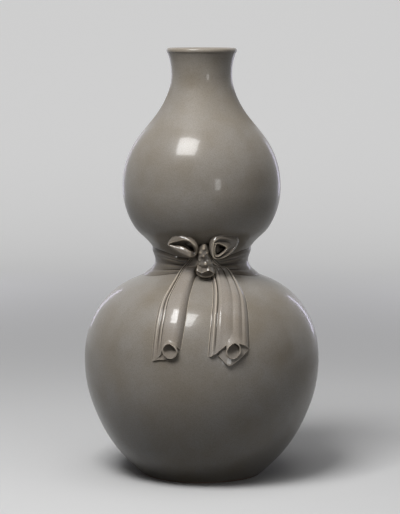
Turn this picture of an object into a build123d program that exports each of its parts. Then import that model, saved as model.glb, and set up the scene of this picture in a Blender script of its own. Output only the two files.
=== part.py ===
from build123d import *
import os
from math import cos, pi, radians, sin, sqrt

# Double gourd vase with a ribbon tied round its waist, in glazed stoneware.
# The origin is the centre of the foot, on the table. +Z is up, and the bow faces -Y.
# The pot is thrown in five sections, luted together at four seams. The sash, the bow and
# the two tails are rolled from slabs of the same clay and pressed onto it before it is glazed.

# Heights of the pot's outline: table to waist, waist to neck, neck to rim
lower_bulb_height = 161.0
upper_bulb_height = 139.0
mouth_height = 20.0
lower_belly_rise = 86.0    # table up to the widest point
upper_belly_rise = 55.0    # waist up to the widest point

# Radii of the outline at the foot, the two bellies, the waist, the neck and the lip
foot_radius = 47.2
lower_belly_radius = 88.4
waist_radius = 33.4
upper_belly_radius = 59.2
neck_radius = 22.6
lip_radius = 26.2

# Walls
wall = 4.5
floor_thickness = 6.0
lip_thickness = 4.2

# Foot: a trimmed ring, bare of glaze, round a shallow recess
foot_bevel = 1.4           # height of the bare bevel above the table
foot_bevel_width = 2.0     # how far it leans in
foot_ring_width = 5.0
foot_recess_depth = 4.0
foot_recess_slope = 1.5    # the recess narrows by this on its way up

# Sash round the waist
sash_drop = 11.5           # waist down to the sash's lower edge
sash_rise = 8.8            # waist up to its upper edge
sash_thickness = 1.6
sash_edge_thickness = 2.6  # its upper edge stands further out
sash_front_drop = 5.4      # the same two, where the sash gathers to the knot
sash_front_rise = 4.2
gather_width = 17.0        # half width of the gathered stretch
spread_width = 42.0        # half width at which the sash is spread out again

# Bow: two loops of ribbon that stand out under the upper bulb, and the knot between them
knot_offset = 1.4          # the knot sits a little to the right of the front
left_loop_reach = 22.0
left_loop_height = 15.8
left_loop_start = 4.8      # knot's centre to the loop's inner end
left_loop_rise = 7.0       # waist up to the loop's lowest point
right_loop_reach = 20.4
right_loop_height = 16.6
right_loop_start = 3.6
right_loop_rise = 6.2
loop_projection = 15.0     # how far the front rims stand out from the sash
loop_shoulder = 5.0        # depth over which the loops swell behind their rims
loop_hollow = 9.0          # depth of the openings

knot_rise = 4.5            # waist up to the joint between the knot and its tongue
knot_height = 13.0         # above that joint
knot_width = 8.6
knot_projection = 13.4

tongue_width = 13.4
tongue_height = 11.2       # below the joint
tongue_offset = 1.0        # it leans a little further right than the knot
tongue_projection = 9.6    # at the tongue's lower rim, out from the sash
tongue_lean = 50.0         # degrees that its open end turns up to face the front
tongue_lip_rise = 2.6      # the open end's front edge above its lowest point
tongue_lip = 0.9           # wall of the open end
tongue_hole_width = 7.6
tongue_hole_height = 3.2
tongue_hole_depth = 4.0

# Tails: draped down the shoulder to a hem above the widest point of the lower bulb
left_tail_length = 64.0    # from the waist down to the blank's lower end, along Z
left_tail_spread = 27.2    # sideways, from the knot's centre to the lower end's centre
left_tail_width = 20.3
right_tail_length = 68.0
right_tail_spread = 17.8
right_tail_width = 27.6
tail_relief = 6.4          # height of the folds at the hem
tail_embed = 4.0           # depth of the raw blank below the pot's surface
hem_lean = 52.0            # degrees that the hem's cut rises as it comes forward
left_hem_rise = 11.6       # lower belly up to the hem's lowest point
left_hem_step = 8.6        # lowest to highest point of the hem
right_hem_rise = 9.2
right_hem_step = 10.4
roll_width = 7.6           # hollow of the rolled fold, as it shows at the hem
roll_height = 3.4
roll_depth = 11.0          # up from the hem's lowest point
roll_overrun = 2.0         # and down past it

# Shared clearance and cutting values
overrun = 3.0              # cutters run past what they cut by this

# Places along the outline that follow from the sizes above
waist_height = lower_bulb_height
neck_height = lower_bulb_height + upper_bulb_height
rim_height = neck_height + mouth_height
upper_belly_height = waist_height + upper_belly_rise
lip_height = rim_height - lip_thickness / 2
sash_radius = waist_radius + sash_thickness

# Shape of each stretch of the outline, as (share of its height, share of its change in radius)
lower_bowl_shares = [(0.066, 0.144), (0.243, 0.469), (0.504, 0.770), (0.764, 0.948)]
lower_shoulder_shares = [(0.293, 0.053), (0.587, 0.261), (0.773, 0.570), (0.853, 0.815), (0.920, 0.958)]
upper_bowl_shares = [(0.164, 0.100), (0.309, 0.340), (0.418, 0.583), (0.527, 0.741), (0.764, 0.937)]
upper_shoulder_shares = [(0.155, 0.032), (0.321, 0.153), (0.488, 0.393), (0.643, 0.682), (0.810, 0.903)]
mouth_shares = [(0.618, 0.340)]
foot_slope_share = 1.05    # the outline leaves the foot at about 45 degrees
lip_slope_share = 0.45     # and ends at the lip with this much flare

inside_sample_shares = [0.0, 0.2, 0.4, 0.6, 0.8, 1.0]
flat_floor_share = 0.8     # the floor inside is flat to this share of the foot's radius

# Where the sections were luted: at the two bellies, the waist and the foot of the neck
neck_seam_share = 0.81     # of the upper shoulder's height


def on_outline(radius, height):
    """A point of the pot's outline, in the half plane to the right of the axis."""
    return Vector(radius, 0, height)


def outline_stretch(low, high, shares, tangents):
    """One stretch of the outline between two (radius, height) ends."""
    inner = [
        on_outline(low[0] + (high[0] - low[0]) * across, low[1] + (high[1] - low[1]) * up)
        for up, across in shares
    ]
    return Spline(on_outline(*low), *inner, on_outline(*high), tangents=tangents)


upright = Vector(0, 0, 1)
foot_end = (foot_radius, foot_bevel)
lower_belly_end = (lower_belly_radius, lower_belly_rise)
waist_end = (waist_radius, waist_height)
upper_belly_end = (upper_belly_radius, upper_belly_height)
neck_end = (neck_radius, neck_height)
lip_end = (lip_radius, lip_height)

outline = [
    outline_stretch(foot_end, lower_belly_end, lower_bowl_shares,
                    [Vector(foot_slope_share, 0, 1), upright]),
    outline_stretch(lower_belly_end, waist_end, lower_shoulder_shares, [upright, upright]),
    outline_stretch(waist_end, upper_belly_end, upper_bowl_shares, [upright, upright]),
    outline_stretch(upper_belly_end, neck_end, upper_shoulder_shares, [upright, upright]),
    outline_stretch(neck_end, lip_end, mouth_shares, [upright, Vector(lip_slope_share, 0, 1)]),
]


def outline_at(height):
    """The outline's radius and unit outward normal (radial, up) at a height."""
    stretch = next(part for part in outline if height <= part.position_at(1).Z or part is outline[-1])
    low, high = 0.0, 1.0
    for _ in range(30):
        middle = (low + high) / 2
        if stretch.position_at(middle).Z < height:
            low = middle
        else:
            high = middle
    point = stretch.position_at(low)
    along = stretch.tangent_at(low)
    return point.X, (along.Z, -along.X)


def inside_stretches():
    """The inside of the wall, one stretch for each of the outline's, square to it by the wall."""
    floor_top = foot_recess_depth + floor_thickness
    lip_inside = lip_radius - lip_thickness
    stretches = []
    for part in outline:
        points = []
        for share in inside_sample_shares:
            point = part.position_at(share)
            along = part.tangent_at(share)
            points.append(on_outline(point.X - wall * along.Z, point.Z + wall * along.X))
        tangents = [upright, upright]
        if part is outline[0]:
            floor_end = on_outline(foot_radius * flat_floor_share, floor_top)
            points = [on_outline(0, floor_top), floor_end] + [p for p in points if p.Z > floor_top + 2 * wall]
            tangents[0] = Vector(1, 0, 0)
        if part is outline[-1]:
            points = [p for p in points if p.Z < lip_height - lip_thickness]
            points.append(on_outline(lip_inside, lip_height))
            tangents[1] = Vector(lip_slope_share, 0, 1)
        stretches.append(Spline(*points, tangents=tangents))
    return stretches


def pot_face():
    """Half section of the whole pot, between its outline and its inside."""
    ring_outside = foot_radius - foot_bevel_width
    ring_inside = ring_outside - foot_ring_width
    underside = Polyline(
        on_outline(0, foot_recess_depth + floor_thickness),
        on_outline(0, foot_recess_depth),
        on_outline(ring_inside - foot_recess_slope, foot_recess_depth),
        on_outline(ring_inside, 0),
        on_outline(ring_outside, 0),
        on_outline(foot_radius, foot_bevel),
    )
    rim_top = on_outline(lip_radius - lip_thickness / 2, rim_height)
    rim = ThreePointArc(on_outline(*lip_end), rim_top, on_outline(lip_radius - lip_thickness, lip_height))
    return Face(Wire([*underside.edges(), *outline, rim, *inside_stretches()]))


def core_solid():
    """The pot's outer shape, filled in, which everything pressed onto it is cut to."""
    top = on_outline(*lip_end)
    bottom = on_outline(*foot_end)
    ends = Polyline(top, on_outline(0, lip_height), on_outline(0, foot_bevel), bottom)
    return revolve(Face(Wire([*outline, *ends.edges()])), Axis.Z)


def pot_sections():
    """The pot, cut across at its seams into the five sections it was thrown in."""
    neck_seam = upper_belly_height + (neck_height - upper_belly_height) * neck_seam_share
    rest = revolve(pot_face(), Axis.Z)
    sections = {}
    seams = [
        ("lower_bowl", lower_belly_rise),
        ("lower_shoulder", waist_height),
        ("upper_bowl", upper_belly_height),
        ("upper_shoulder", neck_seam),
    ]
    for name, height in seams:
        seam = Plane.XY.offset(height)
        sections[name] = split(rest, seam, keep=Keep.BOTTOM)
        rest = split(rest, seam, keep=Keep.TOP)
    sections["neck_and_lip"] = rest
    return sections


def sash_solid(core):
    """Band of clay round the waist, which narrows at the front where the knot gathers it."""
    low = waist_height - sash_drop
    high = waist_height + sash_rise
    heights_and_lifts = [
        (low, 0), (low + sash_thickness, sash_thickness), (waist_height - sash_drop / 2, sash_thickness),
        (waist_height, sash_thickness), (waist_height + sash_rise / 2, (sash_thickness + sash_edge_thickness) / 2),
        (high - sash_thickness / 2, sash_edge_thickness),
    ]
    face_line = []
    for height, lift in heights_and_lifts:
        radius, normal = outline_at(height)
        face_line.append(on_outline(radius + lift * normal[0], height + lift * normal[1]))
    under = outline_at(high)[0] - wall / 2
    outer = Spline(*face_line)
    back = Polyline(
        face_line[-1], on_outline(outline_at(high)[0], high), on_outline(under, high),
        on_outline(outline_at(waist_height)[0] - wall / 2, waist_height),
        on_outline(outline_at(low)[0] - wall / 2, low), face_line[0],
    )
    ring = revolve(Face(Wire([outer, *back.edges()])), Axis.Z) - core

    for far, near in [
        (high + overrun, waist_height + sash_front_rise), (low - overrun, waist_height - sash_front_drop),
    ]:
        edge = Spline(
            (-spread_width, 0, far), (-gather_width, 0, near), (gather_width, 0, near), (spread_width, 0, far),
            tangents=[Vector(1, 0, 0), Vector(1, 0, 0)],
        )
        beyond = 2 * far - near
        frame = Polyline(
            (spread_width, 0, far), (spread_width, 0, beyond), (-spread_width, 0, beyond), (-spread_width, 0, far))
        waste = Face(Wire([edge, *frame.edges()]))
        ring = ring - extrude(waste, lower_belly_radius, dir=(0, -1, 0))
    return ring


def on_pot(across, height, lift=0):
    """A point of the pot's front, at a distance to the right of the axis, and the normal there."""
    radius, (out, up) = outline_at(height)
    depth = sqrt(radius**2 - across**2)
    normal = Vector(across / radius * out, -depth / radius * out, up)
    return Vector(across, -depth, height) + normal * lift, normal


def closed_outline(plane, origin, size, shares):
    """Smooth closed wire through points given as shares of a size, from an origin in a plane."""
    points = [
        plane.from_local_coords(Vector(origin[0] + size[0] * along, origin[1] + size[1] * up, 0))
        for along, up in shares
    ]
    return Wire([Spline(*points, periodic=True)])


def seated(blank, carriers):
    """A blank cut to seat on each piece that carries it, without the crumbs that the cuts leave."""
    for carrier in carriers:
        blank = blank - carrier
    return max(blank.solids(), key=lambda solid: solid.volume)


def between(first, second, share):
    """Points part of the way from one list of shares to another of the same length."""
    return [
        tuple(a + (b - a) * share for a, b in zip(start, end)) for start, end in zip(first, second)
    ]


def bow_loop(side, start, low, reach, height, shapes, core, others):
    """One loop of the bow: a swelling hood of ribbon, open at the front, set under the upper bulb."""
    outline_shares, rim_shares, opening_shares = shapes
    origin = (knot_offset + side * start, waist_height + low)
    size = (side * reach, height)
    front = -(sash_radius + loop_projection)

    def across(depth, shares):
        plane = Plane(origin=(0, depth, 0), x_dir=(1, 0, 0), z_dir=(0, -1, 0))
        return closed_outline(plane, origin, size, shares)

    sections = [across(-waist_radius, outline_shares)]
    for step in range(shoulder_steps + 1):
        turn = pi / 2 * step / shoulder_steps
        depth = front + loop_shoulder * (1 - sin(turn))
        sections.append(across(depth, between(outline_shares, rim_shares, 1 - cos(turn))))
    opening = Face(across(front - overrun, opening_shares))
    hollow = extrude(opening, loop_hollow + overrun, dir=(0, 1, 0))
    return seated(Solid.make_loft(sections, True) - hollow, [core, *others])


def rolled_hollow(mouth, width, height, depth):
    """Flattened round hollow that runs in from a mouth plane, against its normal."""
    return extrude(mouth * SlotOverall(width, height), -depth)


def level_section(height, middle, width, projection, shares):
    """Closed level wire: shares of half its width across, and of its projection from the sash."""
    points = [
        Vector(middle + width / 2 * across, -(sash_radius + projection * out), height)
        for across, out in shares
    ]
    return Wire(Polyline(*points, close=True).edges())


def bow_knot(core, sash):
    """Upright wrap of ribbon between the loops, with two creases down its front."""
    sections = [
        level_section(waist_height + knot_rise + knot_height * up, knot_offset, knot_width * wide,
                      knot_projection * out, knot_section_shares)
        for up, wide, out in knot_shares
    ]
    return seated(Solid.make_loft(sections, True), [core, sash])


def knot_tongue(core, others):
    """Flared end of the wrap, which hangs over the tops of the tails with an open, rolled end."""
    top = waist_height + knot_rise
    middle = knot_offset + tongue_offset
    sections = [
        level_section(top - tongue_height * down, middle, tongue_width * wide,
                      tongue_projection * out, tongue_section_shares)
        for down, wide, out in tongue_shares
    ]
    tongue = Solid.make_loft(sections, True)
    bottom = top - tongue_height
    front = -(sash_radius + tongue_projection)
    lean = radians(tongue_lean)
    mouth = Plane(origin=(middle, front, bottom + tongue_lip_rise), x_dir=(1, 0, 0),
                  z_dir=(0, -sin(lean), -cos(lean)))
    cutter = extrude(mouth * Rectangle(2 * tongue_width, 4 * tongue_projection), tongue_height)
    behind_lip = Plane(mouth.location * Pos(0, -tongue_hole_height / 2 - tongue_lip, 0))
    hole = rolled_hollow(behind_lip, tongue_hole_width, tongue_hole_height, tongue_hole_depth)
    return seated(tongue - cutter - hole, [core, *others])


def tail_planes(length, spread, stations, side):
    """Planes square to a tail's path down the pot: X across it, Y out of the pot."""
    centres = []
    for down, sideways, _, _, on_sash in stations:
        height = waist_height - length * down
        across = knot_offset + side * spread * sideways
        centres.append(on_pot(across, height, sash_thickness * on_sash))
    planes = []
    for index, (centre, normal) in enumerate(centres):
        before = centres[max(index - 1, 0)][0]
        after = centres[min(index + 1, len(centres) - 1)][0]
        along = after - before
        along = (along - normal * along.dot(normal)).normalized()
        planes.append(Plane(origin=centre, x_dir=normal.cross(along), z_dir=along))
    return planes


def tail_section(plane, height, width, relief, folds):
    """One closed section of a tail: folds above the pot's curved surface, flat below it."""
    radius, (out, _) = outline_at(height)
    round_radius = radius / out
    ridge = []
    for across, rise in folds:
        distance = across * width / 2
        ridge.append(plane.from_local_coords(
            Vector(distance, rise * relief - distance**2 / (2 * round_radius), 0)))
    edge = width / 2
    left = plane.from_local_coords(Vector(-edge, -tail_embed, 0))
    right = plane.from_local_coords(Vector(edge, -tail_embed, 0))
    return Wire(Polyline(*ridge, right, left, close=True).edges())


def sash_tail(side, length, spread, width, stations, folds, hem, roll, core, others):
    """One tail: lofted down the shoulder, cut at a leaning hem, with a hollow rolled fold."""
    planes = tail_planes(length, spread, stations, side)
    sections = []
    for plane, (down, _, wide, high, _) in zip(planes, stations):
        blend = [
            (across, gathered + (rolled - gathered) * down) for across, gathered, rolled in folds
        ]
        sections.append(tail_section(plane, waist_height - length * down, width * wide,
                                     tail_relief * high, blend))
    tail = Solid.make_loft(sections, True) - core

    hem_rise, hem_step, hem_shares, smooth = hem
    low = lower_belly_rise + hem_rise
    middle = knot_offset + side * spread
    half = width / 2
    surface = on_pot(middle, low + hem_step / 2)[0].Y
    line = [
        Vector(middle + half * across, surface, low + hem_step * up) for across, up in hem_shares
    ]
    edge = Spline(*line) if smooth else Polyline(*line)
    floor = low - length / 2
    frame = Polyline(line[-1], Vector(line[-1].X, surface, floor), Vector(line[0].X, surface, floor), line[0])
    lean = radians(hem_lean)
    forward = Vector(0, -cos(lean), sin(lean))
    below_hem = Face(Wire([*edge.edges(), *frame.edges()])).moved(Location(forward * -3 * tail_relief))
    tail = tail - extrude(below_hem, 7 * tail_relief, dir=forward)

    roll_across, roll_out, roll_drift = roll
    place = middle + half * roll_across
    centre, normal = on_pot(place, low - roll_overrun, tail_relief * roll_out)
    inner_end, _ = on_pot(place + roll_depth * roll_drift, low + roll_depth, tail_relief * roll_out)
    along = (centre - inner_end).normalized()
    mouth = Plane(origin=centre, x_dir=normal.cross(along), z_dir=along)
    hollow = rolled_hollow(mouth, roll_width, roll_height, (centre - inner_end).length)
    return seated(tail - hollow, others)


# Outlines of the loops, as shares of their reach (from the knot) and of their height
left_outline_shares = [(1.00, 0.70), (0.83, 0.88), (0.63, 1.00), (0.40, 0.98), (0.17, 0.79), (0.04, 0.51),
                       (0.00, 0.18), (0.24, 0.00), (0.47, 0.09), (0.73, 0.37), (0.90, 0.56)]
left_rim_shares = [(0.95, 0.70), (0.80, 0.82), (0.62, 0.88), (0.41, 0.84), (0.20, 0.69), (0.07, 0.43),
                   (0.01, 0.12), (0.22, 0.02), (0.43, 0.17), (0.68, 0.43), (0.86, 0.60)]
left_opening_shares = [(0.85, 0.70), (0.66, 0.77), (0.48, 0.74), (0.26, 0.56), (0.12, 0.30), (0.08, 0.14),
                       (0.20, 0.13), (0.38, 0.32), (0.60, 0.54)]
right_outline_shares = [(0.05, 0.22), (0.00, 0.54), (0.05, 0.84), (0.23, 1.00), (0.48, 1.00), (0.73, 0.84),
                        (0.95, 0.62), (1.00, 0.40), (0.84, 0.18), (0.59, 0.07), (0.20, 0.00)]
right_rim_shares = [(0.05, 0.18), (0.07, 0.48), (0.13, 0.74), (0.27, 0.86), (0.46, 0.87), (0.66, 0.76),
                    (0.86, 0.58), (0.92, 0.40), (0.78, 0.22), (0.55, 0.11), (0.20, 0.04)]
right_opening_shares = [(0.12, 0.16), (0.18, 0.45), (0.27, 0.70), (0.42, 0.73), (0.54, 0.58), (0.48, 0.38),
                        (0.30, 0.20)]
shoulder_steps = 2         # strips in the rounded front of a loop

# Knot: sections as (share of height, of width, of projection), and one section's points
knot_shares = [(0.00, 0.98, 0.94), (0.30, 1.00, 1.00), (0.70, 0.86, 0.95), (1.00, 0.50, 0.76)]
knot_section_shares = [(-1.00, 0.00), (-0.94, 0.55), (-0.62, 0.86), (-0.36, 0.84), (0.00, 1.00),
                       (0.38, 0.86), (0.64, 0.88), (0.94, 0.56), (1.00, 0.00), (0.60, -0.55), (-0.60, -0.55)]

# Tongue: sections as (share of the way down, of width, of projection), and one section's points
tongue_shares = [(0.00, 0.62, 0.92), (0.40, 0.78, 1.05), (1.00, 1.00, 1.00)]
tongue_section_shares = [(-1.00, 0.00), (-0.92, 0.50), (-0.56, 0.86), (0.00, 1.00), (0.56, 0.88),
                         (0.92, 0.52), (1.00, 0.00), (0.60, -0.70), (-0.60, -0.70)]

# Tails: stations as shares (way down, way sideways, width, height of the folds, lift onto the sash)
left_station_shares = [
    (-0.125, 0.235, 0.394, 0.34, 1.0), (0.016, 0.294, 0.473, 0.42, 1.0), (0.086, 0.382, 0.571, 0.45, 1.0),
    (0.156, 0.500, 0.670, 0.47, 0.6), (0.234, 0.636, 0.778, 0.50, 0.0), (0.375, 0.786, 0.922, 0.55, 0.0),
    (0.560, 0.870, 0.990, 0.66, 0.0), (0.770, 0.945, 0.965, 0.86, 0.0), (1.000, 1.000, 0.946, 1.00, 0.0)]
right_station_shares = [
    (-0.103, 0.371, 0.236, 0.34, 1.0), (0.015, 0.404, 0.348, 0.42, 1.0), (0.081, 0.620, 0.464, 0.45, 1.0),
    (0.147, 0.810, 0.580, 0.47, 0.6), (0.221, 0.960, 0.688, 0.50, 0.0), (0.353, 1.048, 0.832, 0.54, 0.0),
    (0.540, 1.050, 0.920, 0.62, 0.0), (0.750, 1.024, 0.980, 0.82, 0.0), (1.000, 1.000, 1.025, 1.00, 0.0)]
# Folds: (share of the half width, height share where gathered, height share at the hem)
left_fold_shares = [(-1.00, 0.18, 0.14), (-0.88, 0.80, 0.40), (-0.68, 0.58, 0.20), (-0.48, 0.86, 0.46),
                    (-0.12, 0.92, 0.86), (0.22, 1.00, 1.00), (0.58, 0.96, 0.94), (0.88, 0.66, 0.62),
                    (1.00, 0.18, 0.14)]
right_fold_shares = [(-1.00, 0.18, 0.14), (-0.86, 0.84, 0.58), (-0.64, 0.58, 0.46), (-0.40, 0.84, 0.68),
                     (-0.14, 0.72, 0.94), (0.14, 0.96, 1.00), (0.40, 0.68, 0.80), (0.62, 0.92, 0.58),
                     (0.86, 0.66, 0.46), (1.00, 0.18, 0.14)]
# Hems: (share of the half width, share of the hem's step)
left_hem_shares = [(-1.40, -0.10), (-0.95, 0.00), (-0.45, 0.22), (0.05, 0.42), (0.55, 0.70), (1.40, 1.20)]
right_hem_shares = [(-1.40, 0.74), (-0.98, 0.63), (-0.42, 0.46), (0.02, 0.00), (0.16, 0.02), (0.98, 1.00),
                    (1.40, 1.40)]
# Rolls: shares of the half width and of the folds' height, and the drift sideways going up
left_roll_shares = (0.30, 0.40, 0.10)
right_roll_shares = (0.14, 0.38, 0.02)

os.makedirs("parts", exist_ok=True)
core = core_solid()
nodes = pot_sections()
sash = sash_solid(core)
knot = bow_knot(core, sash)
tongue = knot_tongue(core, [sash])
nodes["waist_sash"] = sash
nodes["bow_knot"] = knot
nodes["knot_tongue"] = tongue
nodes["bow_loop_left"] = bow_loop(
    -1, left_loop_start, left_loop_rise, left_loop_reach, left_loop_height,
    [left_outline_shares, left_rim_shares, left_opening_shares], core, [sash, knot, tongue])
nodes["bow_loop_right"] = bow_loop(
    1, right_loop_start, right_loop_rise, right_loop_reach, right_loop_height,
    [right_outline_shares, right_rim_shares, right_opening_shares], core, [sash, knot, tongue])
nodes["sash_tail_left"] = sash_tail(
    -1, left_tail_length, left_tail_spread, left_tail_width, left_station_shares, left_fold_shares,
    (left_hem_rise, left_hem_step, left_hem_shares, True), left_roll_shares, core,
    [tongue, knot, sash, nodes["bow_loop_left"]])
nodes["sash_tail_right"] = sash_tail(
    1, right_tail_length, right_tail_spread, right_tail_width, right_station_shares, right_fold_shares,
    (right_hem_rise, right_hem_step, right_hem_shares, False), right_roll_shares, core,
    [tongue, knot, sash, nodes["bow_loop_right"]])

for name, solid in nodes.items():
    export_step(solid, f"parts/{name}.step")
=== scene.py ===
import math

import bmesh
import bpy
import numpy as np
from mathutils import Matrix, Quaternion, Vector


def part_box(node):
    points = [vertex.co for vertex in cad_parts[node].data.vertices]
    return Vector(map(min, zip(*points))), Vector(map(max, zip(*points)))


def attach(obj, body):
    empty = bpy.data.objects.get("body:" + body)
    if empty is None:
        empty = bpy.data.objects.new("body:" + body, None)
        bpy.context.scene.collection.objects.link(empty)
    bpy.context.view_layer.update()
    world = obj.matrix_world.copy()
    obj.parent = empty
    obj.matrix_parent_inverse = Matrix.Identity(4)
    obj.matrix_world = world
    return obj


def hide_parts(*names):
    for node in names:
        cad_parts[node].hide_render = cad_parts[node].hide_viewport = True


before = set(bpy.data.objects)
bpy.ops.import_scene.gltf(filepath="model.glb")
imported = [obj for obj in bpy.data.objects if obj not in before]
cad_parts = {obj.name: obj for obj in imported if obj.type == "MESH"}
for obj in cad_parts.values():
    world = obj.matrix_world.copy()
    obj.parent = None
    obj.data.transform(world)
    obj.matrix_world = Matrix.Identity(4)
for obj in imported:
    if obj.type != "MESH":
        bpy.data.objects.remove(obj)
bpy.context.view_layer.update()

# A double gourd vase of glazed stoneware with a modelled ribbon. Lengths are metres, +Z is up,
# the vase's axis is Z and the bow faces -Y.
MM = 0.001
pieces = {}

# Sizes that the frame holds
belly_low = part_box("lower_bowl")[1].z
belly_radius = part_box("lower_bowl")[1].x
waist_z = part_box("lower_shoulder")[1].z
belly_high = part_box("upper_bowl")[1].z
upper_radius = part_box("upper_bowl")[1].x
neck_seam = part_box("upper_shoulder")[1].z
rim_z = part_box("neck_and_lip")[1].z
lip_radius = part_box("neck_and_lip")[1].x

# Sizes of the thrown pot that the frame's boxes don't give
waist_radius = 33.4 * MM
neck_radius = 22.6 * MM
neck_z = 300.0 * MM
foot_radius = 47.2 * MM
foot_bevel = 1.4 * MM
foot_bevel_width = 2.0 * MM
foot_ring_width = 5.0 * MM
foot_recess = 4.0 * MM
foot_recess_slope = 1.5 * MM
wall = 4.5 * MM
floor_thickness = 6.0 * MM
lip_thickness = 4.2 * MM


def hex_colour(text):
    """Linear colour of an sRGB hex value."""
    srgb = np.array([int(text[i:i + 2], 16) for i in (1, 3, 5)]) / 255
    linear = np.where(srgb <= 0.04045, srgb / 12.92, ((srgb + 0.055) / 1.055) ** 2.4)
    return (*linear.tolist(), 1.0)


def cubic_weights(share, length):
    """Weights of a cubic span's two ends and of their two slopes, at a share of its length."""
    return ((1 + 2 * share) * (1 - share) ** 2, share**2 * (3 - 2 * share),
            length * share * (1 - share) ** 2, length * share**2 * (share - 1))


def smooth_curve(points, start, end, count):
    """Samples of the cubic curve through the points with continuous curvature.

    The slopes at the points solve the usual three-term rows, the end slopes are given, and the
    samples are closer together towards both ends, as half a cosine wave.
    """
    points = np.asarray(points, float)
    step = np.linalg.norm(np.diff(points, axis=0), axis=1)
    knots = np.concatenate([[0], np.cumsum(step)])
    rows = np.eye(len(points))
    right = np.zeros_like(points)
    right[0] = np.asarray(start) / np.linalg.norm(start)
    right[-1] = np.asarray(end) / np.linalg.norm(end)
    inner = np.arange(1, len(points) - 1)
    before, after = step[inner - 1], step[inner]
    rows[inner, inner - 1] = after
    rows[inner, inner] = 2 * (before + after)
    rows[inner, inner + 1] = before
    rise = np.diff(points, axis=0) / step[:, None]
    right[inner] = 3 * (after[:, None] * rise[inner - 1] + before[:, None] * rise[inner])
    slopes = np.linalg.solve(rows, right)
    along = knots[-1] * (1 - np.cos(np.linspace(0, np.pi, count))) / 2
    span = np.clip(np.searchsorted(knots, along, side="right") - 1, 0, len(step) - 1)
    share = ((along - knots[span]) / step[span])[:, None]
    first, second, leaving, arriving = cubic_weights(share, step[span][:, None])
    return (first * points[span] + second * points[span + 1]
            + leaving * slopes[span] + arriving * slopes[span + 1])


# The pot's outline

# Shares of each stretch's (height, change in radius), as the part's own outline has them
bowl_shares = [(0.066, 0.144), (0.243, 0.469), (0.504, 0.770), (0.764, 0.948)]
shoulder_shares = [(0.293, 0.053), (0.587, 0.261), (0.773, 0.570), (0.853, 0.815), (0.920, 0.958)]
upper_bowl_shares = [(0.164, 0.100), (0.309, 0.340), (0.418, 0.583), (0.527, 0.741), (0.764, 0.937)]
upper_shoulder_shares = [(0.155, 0.032), (0.321, 0.153), (0.488, 0.393), (0.643, 0.682),
                         (0.810, 0.903)]
mouth_shares = [(0.618, 0.340)]
UP = (0.0, 1.0)
OUT = (1.0, 0.0)


def stretch(low, high, shares, start=UP, end=UP, count=90):
    """One stretch of the outline as (radius, height) samples, from its ends and inner shares."""
    low, high = np.array(low), np.array(high)
    inner = [low + (high - low) * np.array([across, up]) for up, across in shares]
    return smooth_curve([low, *inner, high], start, end, count)


lip_z = rim_z - lip_thickness / 2
foot_edge = (foot_radius, foot_bevel)
belly = (belly_radius, belly_low)
waist = (waist_radius, waist_z)
upper_belly = (upper_radius, belly_high)
neck = (neck_radius, neck_z)
under_lip = (lip_radius - 0.7 * MM, lip_z - 1.5 * MM)
outline = {
    "lower_bowl": stretch(foot_edge, belly, bowl_shares, start=(1.05, 1.0)),
    "lower_shoulder": stretch(belly, waist, shoulder_shares),
    "upper_bowl": stretch(waist, upper_belly, upper_bowl_shares),
    "upper_shoulder": stretch(upper_belly, neck, upper_shoulder_shares),
    "mouth": stretch(neck, under_lip, mouth_shares, end=(0.4, 1.0), count=40),
}
whole_outline = np.concatenate([line[:-1] for line in outline.values()])


def outline_at(height):
    """Radius and unit outward normal (radial, up) of the pot's outline at each height."""
    radius = np.interp(height, whole_outline[:, 1], whole_outline[:, 0])
    step = 0.3 * MM
    rise = (np.interp(height + step, whole_outline[:, 1], whole_outline[:, 0])
            - np.interp(height - step, whole_outline[:, 1], whole_outline[:, 0])) / (2 * step)
    length = np.sqrt(1 + rise**2)
    return radius, 1 / length, -rise / length


def inward(line):
    """The line moved in, square to itself, by the wall."""
    along = np.gradient(line, axis=0)
    along /= np.linalg.norm(along, axis=1)[:, None]
    return line + wall * np.stack([-along[:, 1], along[:, 0]], axis=1)


# Meshes

def mesh_piece(name, points, faces, sharp=40.0):
    """A smooth-shaded piece from an (n, 3) array of points and a list of faces' corners.

    An edge that turns by more than the sharp angle, in degrees, stays crisp.
    """
    mesh = bpy.data.meshes.new(name)
    mesh.from_pydata(points.tolist(), [], faces)
    shell = bmesh.new()
    shell.from_mesh(mesh)
    bmesh.ops.recalc_face_normals(shell, faces=shell.faces)
    shell.to_mesh(mesh)
    shell.free()
    mesh.shade_smooth()
    mesh.set_sharp_from_angle(angle=math.radians(sharp))
    piece = bpy.data.objects.new(name, mesh)
    bpy.context.scene.collection.objects.link(piece)
    pieces[name] = piece
    return piece


def grid_faces(rows, columns, wrap_rows=False, wrap_columns=False):
    """Quads of a grid of points numbered row by row, joined round at the wrapped sides."""
    row = np.arange(rows if wrap_rows else rows - 1)
    column = np.arange(columns if wrap_columns else columns - 1)
    row, column = np.meshgrid(row, column, indexing="ij")
    right = (column + 1) % columns
    below = (row + 1) % rows
    corners = [row * columns + column, row * columns + right,
               below * columns + right, below * columns + column]
    return np.stack(corners, axis=-1).reshape(-1, 4).tolist()


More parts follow.
